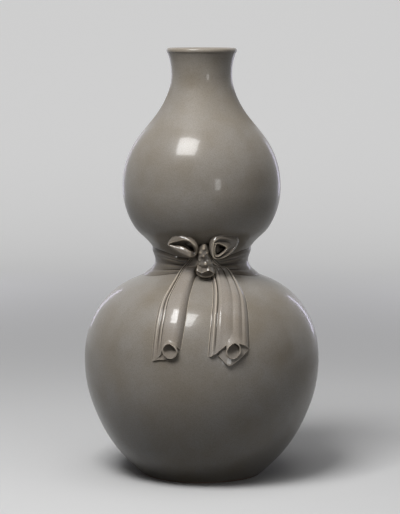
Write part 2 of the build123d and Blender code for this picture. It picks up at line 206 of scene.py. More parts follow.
def curvature_for_glaze_and_painted_light(piece, seams):
    """Writes the curvature in 1/mm as the point attribute "bend", which the glazes colour by.

    It is the mean over a point's edges of twice the drop below the point's tangent plane, divided
    by the edge's length squared, and then twice averaged with the neighbours: positive over edges,
    where the glaze thins and the lighter edge colour goes on, partly as painted highlight, and
    negative in grooves, where the glaze pools and the darker groove colour goes on, partly as painted
    shade. The glaze runs straight over the seams, which are given as heights, so the curvature is
    nought beside them.
    """
    mesh = piece.data
    points = np.empty(len(mesh.vertices) * 3)
    mesh.vertices.foreach_get("co", points)
    points = points.reshape(-1, 3)
    normals = np.empty(len(mesh.vertices) * 3)
    mesh.vertex_normals.foreach_get("vector", normals)
    normals = normals.reshape(-1, 3)
    ends = np.empty(len(mesh.edges) * 2, int)
    mesh.edges.foreach_get("vertices", ends)
    one, other = np.concatenate([ends.reshape(-1, 2), ends.reshape(-1, 2)[:, ::-1]]).T
    along = (points[other] - points[one]) / MM
    length = np.maximum((along**2).sum(1), 1e-6)
    count = np.maximum(np.bincount(one, minlength=len(points)), 1)
    drop = -2 * (normals[one] * along).sum(1) / length
    bend = np.bincount(one, np.clip(drop, -4, 4), len(points)) / count
    for _ in range(2):
        bend = (bend + np.bincount(one, bend[other], len(points)) / count) / 2
    for seam in seams:
        bend[np.abs(points[:, 2] - seam) < 1.5 * MM] = 0
    attribute = mesh.attributes.new("bend", "FLOAT", "POINT")
    attribute.data.foreach_set("value", bend.astype(np.float32))


def revolved(name, outer, inner):
    """A surface of revolution: a closed profile of (radius, height) points carried round the axis.

    The profile is the section's outside going up and then its inside coming down. One that starts
    and ends on the axis gets one point at each of the two poles instead.
    """
    profile = np.concatenate([outer, inner[::-1]])
    on_axis = profile[0, 0] < 1e-9 and profile[-1, 0] < 1e-9
    ring = profile[1:-1] if on_axis else profile
    turns = 224
    angle = np.linspace(0, 2 * np.pi, turns, endpoint=False)
    radius, height = ring[:, :1], ring[:, 1:]
    height = np.broadcast_to(height, (len(ring), turns))
    points = np.stack([radius * np.sin(angle), -radius * np.cos(angle), height], axis=-1).reshape(-1, 3)
    faces = grid_faces(len(ring), turns, wrap_rows=not on_axis, wrap_columns=True)
    if on_axis:
        poles = np.array([[0, 0, profile[0, 1]], [0, 0, profile[-1, 1]]])
        first, last = len(points), len(points) + 1
        points = np.concatenate([points, poles])
        tail = (len(ring) - 1) * turns
        faces += [[first, (i + 1) % turns, i] for i in range(turns)]
        faces += [[last, tail + i, tail + (i + 1) % turns] for i in range(turns)]
    mesh_piece(name, points, faces)


def make_lower_bowl():
    """The lower bulb's bowl on its trimmed foot ring, with the floor inside rounded into the wall."""
    ring_outside = foot_radius - foot_bevel_width
    ring_inside = ring_outside - foot_ring_width
    foot = [(0, foot_recess), (ring_inside - foot_recess_slope, foot_recess), (ring_inside, 0.0),
            (ring_outside, 0.0)]
    floor_top = foot_recess + floor_thickness
    inside = inward(outline["lower_bowl"])
    inside = inside[inside[:, 1] > floor_top + 2 * wall]
    bend = smooth_curve([(foot_radius * 0.8, floor_top), inside[0]], OUT, inside[1] - inside[0], 16)
    revolved("lower_bowl", np.concatenate([foot, outline["lower_bowl"]]),
             np.concatenate([[(0, floor_top)], bend, inside[1:]]))


def make_neck():
    """The upper bulb's shoulder up to the neck's seam, and the neck with its flared round lip."""
    shoulder = outline["upper_shoulder"]
    inside = inward(shoulder)
    clear = 0.1 * MM
    seam, inside_seam = (np.array([[np.interp(neck_seam, line[:, 1], line[:, 0]), neck_seam]])
                         for line in (shoulder, inside))
    cut = np.searchsorted(shoulder[:, 1], neck_seam)
    revolved("upper_shoulder", np.concatenate([shoulder[:cut], seam]),
             np.concatenate([inside[inside[:, 1] < neck_seam - clear], inside_seam]))
    around = np.linspace(-0.22 * np.pi, np.pi, 31)[:-1]
    half = lip_thickness / 2
    rim = np.stack([lip_radius - half + half * np.cos(around), lip_z + half * np.sin(around)], axis=1)
    throat = inward(outline["mouth"])
    throat = throat[throat[:, 1] < lip_z - lip_thickness]
    to_rim = smooth_curve([throat[-1], (lip_radius - lip_thickness, lip_z)], throat[-1] - throat[-2],
                          (0.45, 1.0), 12)[1:]
    inside = inside[inside[:, 1] > neck_seam + clear][:-1]
    revolved("neck_and_lip", np.concatenate([seam, shoulder[cut:-1], outline["mouth"], rim]),
             np.concatenate([inside_seam, inside, throat, to_rim]))


make_lower_bowl()
for name in ("lower_shoulder", "upper_bowl"):
    revolved(name, outline[name], inward(outline[name]))
make_neck()


# The ribbon: rows and columns of points laid out from short tables

def through(places, samples):
    """Weights that carry a table's rows to samples of the smooth curve through them.

    Each span is the cubic whose slope at a row is half the step between that row's neighbours.
    """
    places = np.asarray(places, float)
    count = len(places)
    span = np.clip(np.searchsorted(places, samples, side="right") - 1, 0, count - 2)
    width = places[span + 1] - places[span]
    share = (samples - places[span]) / width
    slope = np.zeros((count, count))
    for i in range(count):
        before, after = max(i - 1, 0), min(i + 1, count - 1)
        slope[i, before] = -1 / (places[after] - places[before])
        slope[i, after] = 1 / (places[after] - places[before])
    rows = np.eye(count)
    first, second, leaving, arriving = cubic_weights(share[:, None], width[:, None])
    return (first * rows[span] + second * rows[span + 1]
            + leaving * slope[span] + arriving * slope[span + 1])


def round_closed(table, columns):
    """Samples of the smooth closed curve through each ring of control points in a table.

    The curve runs on past both ends of the ring's list, so that it closes without a corner.
    """
    count = table.shape[-2]
    wrapped = np.arange(-2, count + 3)
    weights = through(wrapped, np.linspace(0, count, columns, endpoint=False))
    return weights @ table[..., wrapped % count, :]


def on_pot(across, height, lift):
    """Points over the pot's front: a distance to the right of the axis, a height, and a lift off it."""
    radius, out, up = outline_at(height)
    turn = np.arcsin(np.clip(across / radius, -0.98, 0.98))
    reach = radius + lift * out
    return np.stack([reach * np.sin(turn), -reach * np.cos(turn), height + lift * up], axis=-1)


def unit(vectors):
    """The vectors at length one."""
    return vectors / np.maximum(np.linalg.norm(vectors, axis=-1, keepdims=True), 1e-12)


def ring_shell(rows):
    """Points and faces of closed rings of points, shut by a pole at each end."""
    count, columns = rows.shape[:2]
    points = np.concatenate([rows.reshape(-1, 3), rows[0].mean(0)[None], rows[-1].mean(0)[None]])
    faces = grid_faces(count, columns, wrap_columns=True)
    first, last, tail = count * columns, count * columns + 1, (count - 1) * columns
    faces += [[first, (i + 1) % columns, i] for i in range(columns)]
    faces += [[last, tail + i, tail + (i + 1) % columns] for i in range(columns)]
    return points, faces


def joined(name, shells):
    """One piece from closed shells, each (points, faces)."""
    points, faces, start = [], [], 0
    for shell_points, shell_faces in shells:
        points.append(shell_points)
        faces += [[corner + start for corner in face] for face in shell_faces]
        start += len(shell_points)
    mesh_piece(name, np.concatenate(points), faces, sharp=50.0)


def hollow(outer, inner):
    """A closed shell that is open in front, from its rings of points.

    They are the outside coming forward, the inside going back, and between them a rim that is half
    a circle from one to the other.
    """
    forward = unit(outer[-1] - outer[-3])
    middle, half = (outer[-1] + inner[0]) / 2, (outer[-1] - inner[0]) / 2
    size = np.linalg.norm(half, axis=-1, keepdims=True)
    turn = np.linspace(0, np.pi, 7)[1:-1, None, None]
    rim = middle + np.cos(turn) * half + np.sin(turn) * size * forward
    return ring_shell(np.concatenate([outer, rim, inner]))


def closing(count, start):
    """How far each of the rows inside a hollow is drawn shut: nought up to a share, then a square."""
    return np.clip((np.linspace(0, 1, count)[:, None, None] - start) / (1 - start), 0, 1) ** 2


def sheet_shell(levels, edges, shares, lifts, hem, thickness, depth, rows, columns, blend):
    """A folded sheet draped on the pot, with a rounded hem and a hollow of some depth under it.

    levels: heights of the stations, top first. edges: for each station, how far across the left and
    the right edge lie. shares: each control point's place across, as a share of the half width.
    lifts: for each station, the control points' height off the pot. hem: how far each control
    point's lower end is moved up or down. All in mm. A point of the sheet is the smooth surface
    through the table, and the hem's shape fades in towards the bottom, as a power of the way down.
    """
    left, right = np.array(edges, float).T[:, :, None]
    contour = (left + right) / 2 + (right - left) / 2 * np.array(shares)
    down = through(np.linspace(0, 1, len(levels)), np.linspace(0, 1, rows))
    along = through(np.linspace(0, 1, len(shares)), np.linspace(0, 1, columns))
    across = down @ contour @ along.T
    lift = down @ np.array(lifts, float) @ along.T
    fade = np.linspace(0, 1, rows)[:, None] ** blend
    height = (down @ np.array(levels, float))[:, None] + fade * (along @ np.array(hem, float))
    top = on_pot(across * MM, height * MM, lift * MM)
    normal = unit(np.cross(np.gradient(top, axis=0), np.gradient(top, axis=1)))
    base_points, outer_sink, inner_sink = 24, 1.2 * MM, 0.6 * MM
    back = np.linspace(1, 0, base_points + 2)[1:-1]

    def base(used, sink):
        """Rows from the right edge back to the left one, sunk into the pot."""
        x, z = (table[used, :1] + (table[used, -1:] - table[used, :1]) * back
                for table in (across, height))
        return on_pot(x * MM, z * MM, np.full(x.shape, -sink))

    everything = np.arange(rows)
    outer = np.concatenate([top, base(everything, outer_sink)], axis=1)
    above_hem = height.mean(axis=1) - height[-1].mean()
    inside = everything[::-1][above_hem[::-1] < depth]
    under = top[inside] - normal[inside] * thickness * MM
    shut = on_pot(across[inside] * MM, height[inside] * MM, np.full((len(inside), columns), -inner_sink))
    close = closing(len(inside), 0.7)
    under = under * (1 - close) + shut * close
    return hollow(outer, np.concatenate([under, base(inside, inner_sink)], axis=1))


def tube_shell(stations, tilt, notch):
    """A round-ended tube of clay that lies along the pot, hollow from its open lower end.

    stations: (height, middle across, half width, lift of the middle, half thickness), top first, in
    mm. Round the tube at an angle, a point is the middle plus the half sizes times its cosine and
    sine. At the open end it lies higher by the tilt times that sine, and in front by the notch
    times a bell.
    """
    thickness, depth, rows, columns = 1.0, 11.0, 40, 64
    stations = np.array(stations, float)
    down = through(np.linspace(0, 1, len(stations)), np.linspace(0, 1, rows)) @ stations
    turn = np.linspace(0, 2 * np.pi, columns, endpoint=False)
    fade = np.linspace(0, 1, rows)[:, None] ** 2
    raised = tilt * np.sin(turn) + notch * np.exp(-((turn - np.pi / 2) / 0.35) ** 2)

    def ring(shrink):
        """Rings round the tube, drawn in by an amount in mm."""
        across = down[:, 1:2] + (down[:, 2:3] - shrink) * np.cos(turn)
        lift = down[:, 3:4] + (down[:, 4:5] - shrink) * np.sin(turn)
        return on_pot(across * MM, (down[:, :1] + fade * raised) * MM, lift * MM)

    inner = ring(thickness)[down[:, 0] - down[-1, 0] < depth][::-1]
    close = 0.9 * closing(len(inner), 0.75)
    return hollow(ring(0.0), inner * (1 - close) + inner.mean(axis=1, keepdims=True) * close)


def contour_shell(contours, rows_per_mm=3.0):
    """A closed shell through nested closed contours, from the pot out over the rim and back inside.

    Each contour is a list of (across, height, out from the axis) control points in mm. Round a
    contour and from contour to contour the surface is the smooth curve through the points, with
    each contour's place set by its mean distance from the one before.
    """
    table = round_closed(np.array(contours, float), 128)
    gaps = np.linalg.norm(np.diff(table, axis=0), axis=2).mean(axis=1)
    places = np.concatenate([[0], np.cumsum(gaps)])
    samples = np.unique(np.concatenate([
        np.linspace(start, start + gap, max(4, int(gap * rows_per_mm)) + 1)
        for start, gap in zip(places, gaps)]))
    across, height, out = np.moveaxis(np.einsum("rn,nkd->rkd", through(places, samples), table), -1, 0)
    return ring_shell(np.stack([across, -out, height], axis=-1) * MM)


def at_depth(flat, out, less=0.0):
    """(across, height) points with their distances out from the axis, less an amount."""
    out, less = np.broadcast_to(out, len(flat)), np.broadcast_to(less, len(flat))
    return [(x, z, y - d) for (x, z), y, d in zip(flat, out, less)]


def drawn_in(flat, centre, share):
    """The points moved by a share of the way to a centre."""
    return [(x + (centre[0] - x) * share, z + (centre[1] - z) * share) for x, z in flat]


def halfway(flat, other):
    """The points halfway from one list to another."""
    return [drawn_in([one], two, 0.5)[0] for one, two in zip(flat, other)]


# Sash: a band round the waist, gathered to the knot in front

def make_sash():
    """A band round the waist whose section at each angle is a smooth closed line.

    Control points are (share of the band's height, lift in mm). The heights of the band's edges
    follow how far across they lie, in mm: level in front, and spread towards the sides and behind.
    Folds are a cosine up the outside of the band, faded beside its edges, that is strongest at an
    angle to each side of the front, as a bell round that angle.
    """
    angle = np.linspace(0, 2 * np.pi, 260, endpoint=False)
    aside = np.where(np.cos(angle) < 0, 1.0, np.abs(np.sin(angle)))
    low = np.interp(aside * 44.0, [0, 15, 19.4, 25, 31, 37, 42, 44],
                    [155.8, 155.7, 155.3, 154.6, 153.6, 152.2, 150.9, 150.4])[:, None]
    high = np.interp(aside * 34.0, [0, 15, 17, 22, 27, 31, 34],
                     [165.4, 165.5, 165.8, 167.2, 168.7, 169.6, 169.8])[:, None]
    section = np.array([
        (-0.05, -1.0), (-0.045, -0.15), (-0.02, 0.15), (0.02, 0.8), (0.09, 1.45), (0.22, 1.7),
        (0.36, 1.6), (0.5, 1.55), (0.64, 1.55), (0.78, 1.6), (0.9, 1.65), (0.97, 1.5), (1.02, 1.1),
        (1.06, 0.6), (1.09, 0.15), (1.12, -0.2), (1.1, -1.0), (0.5, -1.6)])
    share, lift = round_closed(section, 110).T
    fold_depth, folds, first_fold, last_fold, fade = 0.45, 2.5, 0.05, 0.93, 0.12
    gather_angle, gather_spread = 0.75, 0.42
    off_front = np.minimum(angle, 2 * np.pi - angle)[:, None]
    gather = np.exp(-((off_front - gather_angle) / gather_spread) ** 2)
    fold = fold_depth * np.cos(share * 2 * np.pi * folds + 0.6) * gather
    fold = fold * np.clip((share - first_fold) / fade, 0, 1) * np.clip((last_fold - share) / fade, 0, 1)
    lift = lift + np.where(lift > 1.0, fold, 0)
    height = low + (high - low) * share
    radius, out, up = outline_at(height * MM)
    reach = radius + lift * MM * out
    points = np.stack([reach * np.sin(angle)[:, None], -reach * np.cos(angle)[:, None],
                       height * MM + lift * MM * up], axis=-1)
    faces = grid_faces(*height.shape, wrap_rows=True, wrap_columns=True)
    joined("waist_sash", [(points.reshape(-1, 3), faces)])


# Tails: control points across each station, from the left edge to the right one, in mm

def tail_sheet(edges, shares, gathered, swell, swept, flat, low, end, hem):
    """The upper sheet of a tail, from the lifts of its stations.

    It is tucked behind the knot, gathered there, swept over the sash's lower edge and then flat on
    the shoulder down to its low part and its end.
    """
    gathered, swept = np.array(gathered), np.array(swept)
    lifts = [gathered - 4.0, gathered, gathered + 1.0, swell, (gathered + swept) / 2, swept,
             flat, flat, flat, flat, low, end]
    levels = [171, 168, 164, 160, 156, 151.5, 146, 138, 127, 117, 110, 104]
    return sheet_shell(levels, edges, shares, lifts, hem, 1.1, 12, rows=84, columns=128, blend=4.0)


def under_sheet(edges, shares, lift, hem, thickness, rows, columns):
    """The layer that shows under a tail's hem."""
    return sheet_shell([124, 116, 108, 102], edges, shares, [lift] * 4, hem, thickness, 6,
                       rows, columns, blend=2.0)


def make_left_tail():
    """The left tail: two thin folds at its outer edge and one broad roll, with a scroll at the hem."""
    gathered = [-0.8, 0.0, 0.6, 2.2, 4.0, 5.0, 4.6, 6.4, 6.2, 7.3, 7.8, 8.1, 8.4, 8.6, 8.7, 8.4, 7.0,
                4.0, 1.0, 0.0, -0.8]
    top = tail_sheet(
        [(-6.4, -1.6), (-8.4, -1.8), (-10.6, -1.9), (-12.6, -2.0), (-15.2, -3.2), (-19.0, -5.4),
         (-23.7, -7.8), (-29.0, -10.3), (-32.1, -12.1), (-33.6, -13.7), (-34.5, -14.8), (-35.0, -15.6)],
        [-1.15, -1.09, -1.04, -0.98, -0.91, -0.83, -0.66, -0.50, -0.40, -0.28, -0.10, 0.10, 0.30, 0.50,
         0.68, 0.82, 0.92, 0.99, 1.05, 1.10, 1.16],
        gathered,
        swell=gathered[:8] + [6.5, 7.9, 8.7, 9.0, 9.0, 8.8] + gathered[14:],
        swept=[-0.8, 0.0, 0.3, 1.2, 2.3, 2.7, 2.0, 3.4, 3.2, 4.3, 4.7, 4.8, 4.9, 4.9, 4.6, 3.9, 2.6,
               1.0, 0.3, 0.0, -0.8],
        flat=[-0.8, 0.0, 0.2, 0.8, 1.6, 1.9, 1.4, 2.5, 2.5, 3.5, 3.7, 3.85, 3.95, 3.95, 3.65, 2.9, 1.8,
              0.7, 0.2, 0.0, -0.8],
        low=[-0.8, 0.0, 0.2, 0.8, 1.4, 1.7, 1.4, 2.2, 2.4, 3.4, 3.8, 4.0, 4.1, 4.1, 3.7, 3.0, 1.8,
             0.7, 0.2, 0.0, -0.8],
        end=[-0.8, 0.0, 0.2, 0.7, 1.1, 1.4, 1.4, 1.8, 2.3, 3.2, 4.0, 4.5, 4.7, 4.6, 4.2, 3.4, 2.2,
             0.8, 0.2, 0.0, -0.8],
        hem=[-6.7, -6.6, -6.5, -6.3, -6.0, -5.4, -4.2, -2.9, -1.8, 0.6, 3.8, 4.8, 5.5, 5.8, 5.4, 4.6,
             3.6, 2.9, 2.6, 2.4, 2.2])
    scroll = tube_shell([(122, -21.4, 3.2, 1.6, 1.2), (114, -21.6, 4.2, 2.0, 1.4),
                         (108, -21.8, 4.9, 3.1, 2.0), (104.4, -22.0, 5.2, 4.0, 2.4)], 4.4, 0.4)
    under = under_sheet(
        [(-31.0, -14.0), (-33.0, -15.0), (-34.4, -16.2), (-35.2, -17.0)],
        [-1.06, -1.0, -0.9, -0.5, 0.0, 0.5, 0.9, 1.0, 1.06],
        [-0.8, 0.3, 1.0, 1.1, 1.2, 1.2, 1.0, 0.3, -0.8],
        [-4.8, -4.6, -4.2, -3.2, -2.8, -1.0, 1.4, 2.2, 2.6], 0.9, 30, 60)
    joined("sash_tail_left", [top, scroll, under])


def make_right_tail():
    """The right tail: narrow folds down its length, a scroll at the hem, a pointed layer under it."""
    gathered = [-0.8, 0.0, 1.4, 4.6, 7.6, 7.4, 7.8, 8.2, 8.2, 7.8, 7.9, 7.5, 7.1, 7.5, 7.4, 6.5, 6.4,
                5.2, 3.6, 1.6, 0.5, 0.0, -0.8]
    top = tail_sheet(
        [(2.0, 7.0), (2.0, 8.6), (2.4, 11.0), (3.8, 13.9), (5.9, 18.6), (7.6, 23.3), (8.9, 27.8),
         (8.7, 31.3), (7.5, 32.6), (6.6, 33.0), (5.9, 33.2), (5.4, 33.2)],
        [-1.13, -1.08, -1.03, -0.98, -0.88, -0.75, -0.66, -0.58, -0.50, -0.38, -0.20, -0.04, 0.11, 0.28,
         0.44, 0.60, 0.74, 0.85, 0.94, 1.0, 1.05, 1.10, 1.15],
        gathered,
        swell=gathered,
        swept=[-0.8, 0.0, 0.3, 1.4, 3.0, 2.3, 3.0, 3.7, 3.9, 3.8, 4.0, 3.8, 3.5, 4.1, 4.2, 3.4, 3.8,
               3.1, 2.1, 0.9, 0.3, 0.0, -0.8],
        flat=[-0.8, 0.0, 0.2, 0.9, 2.2, 1.7, 2.3, 2.9, 3.1, 3.1, 3.2, 3.0, 2.7, 3.2, 3.3, 2.6, 2.9,
              2.4, 1.6, 0.7, 0.2, 0.0, -0.8],
        low=[-0.8, 0.0, 0.2, 0.9, 2.2, 1.7, 2.3, 2.9, 3.1, 3.2, 3.5, 3.4, 3.2, 3.5, 3.6, 2.9, 3.0,
             2.5, 1.7, 0.7, 0.2, 0.0, -0.8],
        end=[-0.8, 0.0, 0.3, 1.0, 2.1, 2.0, 2.4, 2.9, 3.1, 3.5, 4.1, 4.5, 4.7, 4.8, 4.7, 4.1, 3.7,
             3.0, 2.0, 0.8, 0.2, 0.0, -0.8],
        hem=[-2.5, -2.4, -2.3, -2.2, -1.9, -0.9, -0.1, 0.8, 1.7, 3.2, 4.9, 5.7, 6.0, 6.0, 5.8, 5.3,
             4.6, 3.9, 3.2, 2.8, 2.5, 2.3, 2.1])
    scroll = tube_shell([(122, 21.2, 3.0, 1.2, 0.9), (114, 21.3, 4.0, 2.0, 1.3),
                         (108, 21.5, 4.7, 3.6, 2.0), (104.4, 21.6, 5.1, 4.7, 2.4)], 4.6, 0.5)
    under = under_sheet(
        [(12.0, 31.6), (11.6, 32.4), (11.4, 33.0), (11.4, 33.4)],
        [-1.06, -1.0, -0.9, -0.62, -0.30, 0.0, 0.4, 0.75, 0.92, 1.0, 1.06],
        [-0.8, 0.3, 1.3, 1.7, 1.9, 1.9, 1.9, 1.8, 1.5, 0.4, -0.8],
        [1.0, 0.4, -0.6, -4.0, -6.9, -5.4, -2.2, 1.0, 3.0, 4.2, 5.0], 1.0, 34, 80)
    joined("sash_tail_right", [top, scroll, under])


# Bow: the knot, its open tongue and the two loops

def make_knot():
    """An upright gathered bud: closed level rings through a table, with soft lobes on its front.

    Round a ring the point is the middle plus the half width times the cosine, and out by the depth
    times the sine. Each lobe, given as (across, height, rise, size), adds its rise times a bell of
    its size round its place; one that rises by less than nothing is a pit.
    """
    levels = [177.9, 177.6, 176.6, 175.0, 172.8, 170.6, 168.6, 166.6, 164.4, 161.5, 159.0]
    middle = [1.7, 1.7, 1.7, 1.6, 1.5, 1.5, 1.6, 1.9, 2.4, 2.5, 2.5]
    half = [0.7, 1.8, 2.7, 3.4, 4.0, 4.3, 4.6, 4.9, 5.4, 6.0, 5.8]
    front = [46.6, 47.6, 48.5, 49.0, 49.0, 48.6, 48.0, 47.6, 47.3, 46.6, 44.6]
    turn = np.linspace(0, 2 * np.pi, 120, endpoint=False)
    down = through(np.linspace(0, 1, len(levels)), np.linspace(0, 1, 90))
    height, centre, wide, out = (down @ np.array([levels, middle, half, front]).T).T[:, :, None]
    across = centre + wide * np.cos(turn)
    depth = 8.0
    reach = out - depth + depth * np.sin(turn)
    facing = np.clip(np.sin(turn), 0, 1) ** 0.5
    lobes = [(1.6, 175.0, 1.1, 1.5), (-1.2, 171.8, 1.5, 1.5), (4.2, 171.6, 1.5, 1.5),
             (1.4, 169.4, 1.2, 1.4), (-1.6, 168.9, 1.1, 1.4), (-1.8, 166.2, 1.2, 1.4),
             (-2.0, 163.4, 1.2, 1.5), (5.0, 168.9, 1.2, 1.4), (5.9, 166.4, 1.3, 1.4),
             (6.8, 163.9, 1.3, 1.4), (7.6, 161.6, 1.2, 1.4), (1.8, 166.2, -0.4, 1.8),
             (2.8, 163.4, 1.6, 1.5)]
    for x, z, rise, size in lobes:
        bell = rise * np.exp(-((across - x) ** 2 + (height - z) ** 2) / size**2)
        reach = reach + bell * facing
        across = across + 0.35 * bell * np.cos(turn)
    rows = np.stack([across, -reach, np.broadcast_to(height, across.shape)], axis=-1) * MM
    joined("bow_knot", [ring_shell(rows)])


def oval(middle, half, front, back, fold=0.0):
    """Control points of a ring: (across, height, out), with its own reach in front and behind.

    middle is its centre, half its half width, and front and back the (height, out) steps from the
    centre to its foremost and rearmost points. The front half waves by the fold times minus the
    sine of four times the turn, like the edge of gathered cloth.
    """
    turn = np.linspace(0, 2 * np.pi, 16, endpoint=False)
    ahead = np.where(np.sin(turn) > 0.01, 1, 0)[:, None]
    step = np.sin(turn)[:, None] * (ahead * np.array(front) - (1 - ahead) * np.array(back))
    step = step - ahead * fold * np.sin(4 * turn)[:, None] * np.array([1.0, 0.7])
    return [(middle[0] + half * np.cos(angle), middle[1] + up, middle[2] + out)
            for angle, (up, out) in zip(turn, step)]


def make_tongue():
    """The wrap's lower end: a short flattened spout whose open mouth faces forward and down."""
    joined("knot_tongue", [contour_shell([
        oval((2.4, 168.5, 41.5), 3.0, (0.0, 2.4), (0.0, -3.6)),
        oval((2.4, 165.0, 41.8), 4.4, (0.0, 3.4), (0.0, -4.2), 0.3),
        oval((2.5, 161.4, 42.2), 5.9, (0.4, 3.8), (-1.6, -4.0), 0.6),
        oval((2.6, 158.9, 42.8), 6.6, (0.8, 4.0), (-3.2, -3.4), 0.8),
        oval((2.7, 157.5, 43.3), 6.9, (0.9, 4.2), (-4.4, -2.6), 0.9),
        oval((2.7, 157.1, 43.6), 6.7, (0.8, 4.1), (-4.3, -1.9), 0.9),
        oval((2.7, 157.3, 43.5), 6.0, (0.5, 3.3), (-3.7, -1.3), 0.8),
        oval((2.6, 158.6, 43.0), 5.2, (0.6, 2.5), (-3.0, -1.4), 0.6),
        oval((2.5, 160.8, 42.5), 4.0, (0.5, 1.8), (-2.0, -1.4), 0.3),
        oval((2.4, 163.0, 42.0), 2.4, (0.3, 1.0), (-0.9, -0.9))], rows_per_mm=4.0)])


def make_loops():
    """Both loops of the bow: hoods of ribbon that slope up and back from their rims to the bulb.

    The left one is open in a crescent between its hood and its thick lower lip. The right one turns
    away to the side, so its rim runs round a shallow valley beside the opening.
    """
    back = 33.0
    root = [(-25.0, 177.4), (-22.2, 182.2), (-16.6, 185.5), (-10.6, 184.4), (-5.7, 181.4),
            (-2.9, 177.0), (-2.6, 172.6), (-4.6, 169.0), (-8.6, 168.2), (-13.2, 169.4),
            (-18.0, 172.0), (-22.6, 175.2)]
    rim = [(-24.2, 177.5), (-21.2, 179.4), (-16.3, 181.0), (-11.7, 181.5), (-7.9, 180.0),
           (-5.0, 176.8), (-4.2, 173.0), (-5.6, 170.4), (-8.4, 170.4), (-12.1, 172.6),
           (-15.9, 174.6), (-20.4, 176.4)]
    throat = [(-21.6, 177.6), (-19.6, 178.3), (-15.8, 179.5), (-11.8, 179.8), (-8.8, 178.7),
              (-6.7, 176.4), (-5.8, 173.8), (-6.2, 172.5), (-8.2, 172.9), (-11.6, 175.0),
              (-15.2, 176.5), (-18.6, 177.1)]
    crest = np.array([43.6, 45.6, 47.4, 48.9, 50.2, 50.4, 47.0, 46.0, 49.4, 48.6, 47.2, 45.2])
    slope = np.array([1.6, 2.6, 3.0, 2.8, 2.4, 1.8, 1.6, 1.4, 1.8, 1.8, 1.8, 1.6])
    swell = np.array([0.4, 0.7, 0.8, 0.7, 0.5, 0.3, 0.2, 0.0, 0.1, 0.1, 0.1, 0.1])
    lip = np.array([2.0, 2.0, 2.0, 2.2, 2.4, 2.4, 2.2, 1.8, 1.5, 1.5, 1.6, 1.8])
    joined("bow_loop_left", [contour_shell([
        at_depth(root, back), at_depth(root, crest, slope + 1.0), at_depth(root, crest, slope),
        at_depth(halfway(root, rim), crest, swell), at_depth(rim, crest),
        at_depth(halfway(rim, throat), crest, 0.35 * lip), at_depth(throat, crest, lip),
        at_depth(throat, crest, 7.0), at_depth(drawn_in(throat, (-12.0, 177.0), 0.6), crest, 8.0)])])

    root = [(6.4, 171.6), (5.6, 177.0), (7.0, 182.8), (11.0, 186.8), (16.4, 187.4), (22.2, 185.2),
            (26.8, 181.2), (26.2, 176.4), (22.8, 171.8), (18.4, 168.6), (13.0, 167.0), (8.6, 167.6)]
    rim = [(8.4, 171.6), (8.6, 177.2), (9.7, 180.4), (12.5, 182.2), (16.5, 182.4), (21.0, 181.0),
           (24.0, 178.2), (23.2, 174.8), (20.6, 171.8), (17.0, 169.3), (12.4, 167.8), (9.4, 168.5)]
    valley = [(9.0, 171.6), (9.2, 177.0), (10.2, 179.6), (12.8, 180.6), (16.4, 180.1), (20.0, 178.6),
              (21.6, 176.4), (20.8, 174.0), (18.8, 171.8), (15.8, 170.1), (12.2, 168.6), (9.8, 169.1)]
    heart = [(9.5, 171.6), (9.8, 176.4), (10.8, 178.7), (12.8, 178.6), (15.2, 177.5), (17.4, 176.4),
             (18.4, 175.0), (17.8, 173.5), (16.4, 172.1), (14.4, 170.6), (12.0, 169.2), (10.3, 169.5)]
    throat = drawn_in(heart, (12.8, 174.4), 0.24)
    crest = np.array([50.4, 50.4, 49.8, 48.6, 46.8, 44.0, 41.2, 40.6, 43.0, 46.4, 48.8, 50.0])
    heart_out = np.array([50.4, 50.0, 49.0, 47.9, 46.9, 46.4, 46.2, 46.8, 47.8, 48.8, 49.8, 50.4])
    dip = np.array([0.6, 0.9, 1.6, 2.2, 2.2, 0.8, -1.2, -1.8, -0.8, 0.2, 0.4, 0.5])
    slope = np.array([2.6, 3.0, 3.4, 3.8, 4.0, 3.8, 3.0, 2.8, 2.6, 2.4, 2.2, 2.2])
    swell = np.array([0.4, 0.6, 0.9, 1.1, 1.2, 1.1, 0.5, 0.3, 0.1, -0.1, 0.0, 0.2])
    joined("bow_loop_right", [contour_shell([
        at_depth(root, back), at_depth(root, crest, slope + 1.0), at_depth(root, crest, slope),
        at_depth(halfway(root, rim), crest, swell), at_depth(rim, crest), at_depth(valley, crest, dip),
        at_depth(heart, heart_out), at_depth(halfway(heart, throat), heart_out, 0.6),
        at_depth(throat, heart_out, 2.2), at_depth(throat, heart_out, 8.0),
        at_depth(drawn_in(throat, (12.8, 174.4), 0.6), heart_out, 9.0)])])


make_sash()
make_left_tail()
make_right_tail()
make_knot()
make_tongue()
make_loops()


# Glaze and bare clay

def add_node(tree, kind, settings=None, links=None):
    """Adds a node with its settings and links.

    Settings are its own values, its sockets' values or, for a colour ramp, its two stops as
    (position, sRGB hex). Links are the sources of its sockets.
    """
    node = tree.nodes.new(kind)
    for key, value in (settings or {}).items():
        if key == "stops":
            for element, (position, colour) in zip(node.color_ramp.elements, value):
                element.position, element.color = position, hex_colour(colour)
        elif isinstance(key, str) and hasattr(node, key):
            setattr(node, key, value)
        else:
            node.inputs[key].default_value = value
    for key, source in (links or {}).items():
        tree.links.new(source, node.inputs[key])
    return node


def new_material(name):
    """An empty node material, and its tree."""
    material = bpy.data.materials.new(name)
    material.use_nodes = True
    material.node_tree.nodes.clear()
    return material, material.node_tree


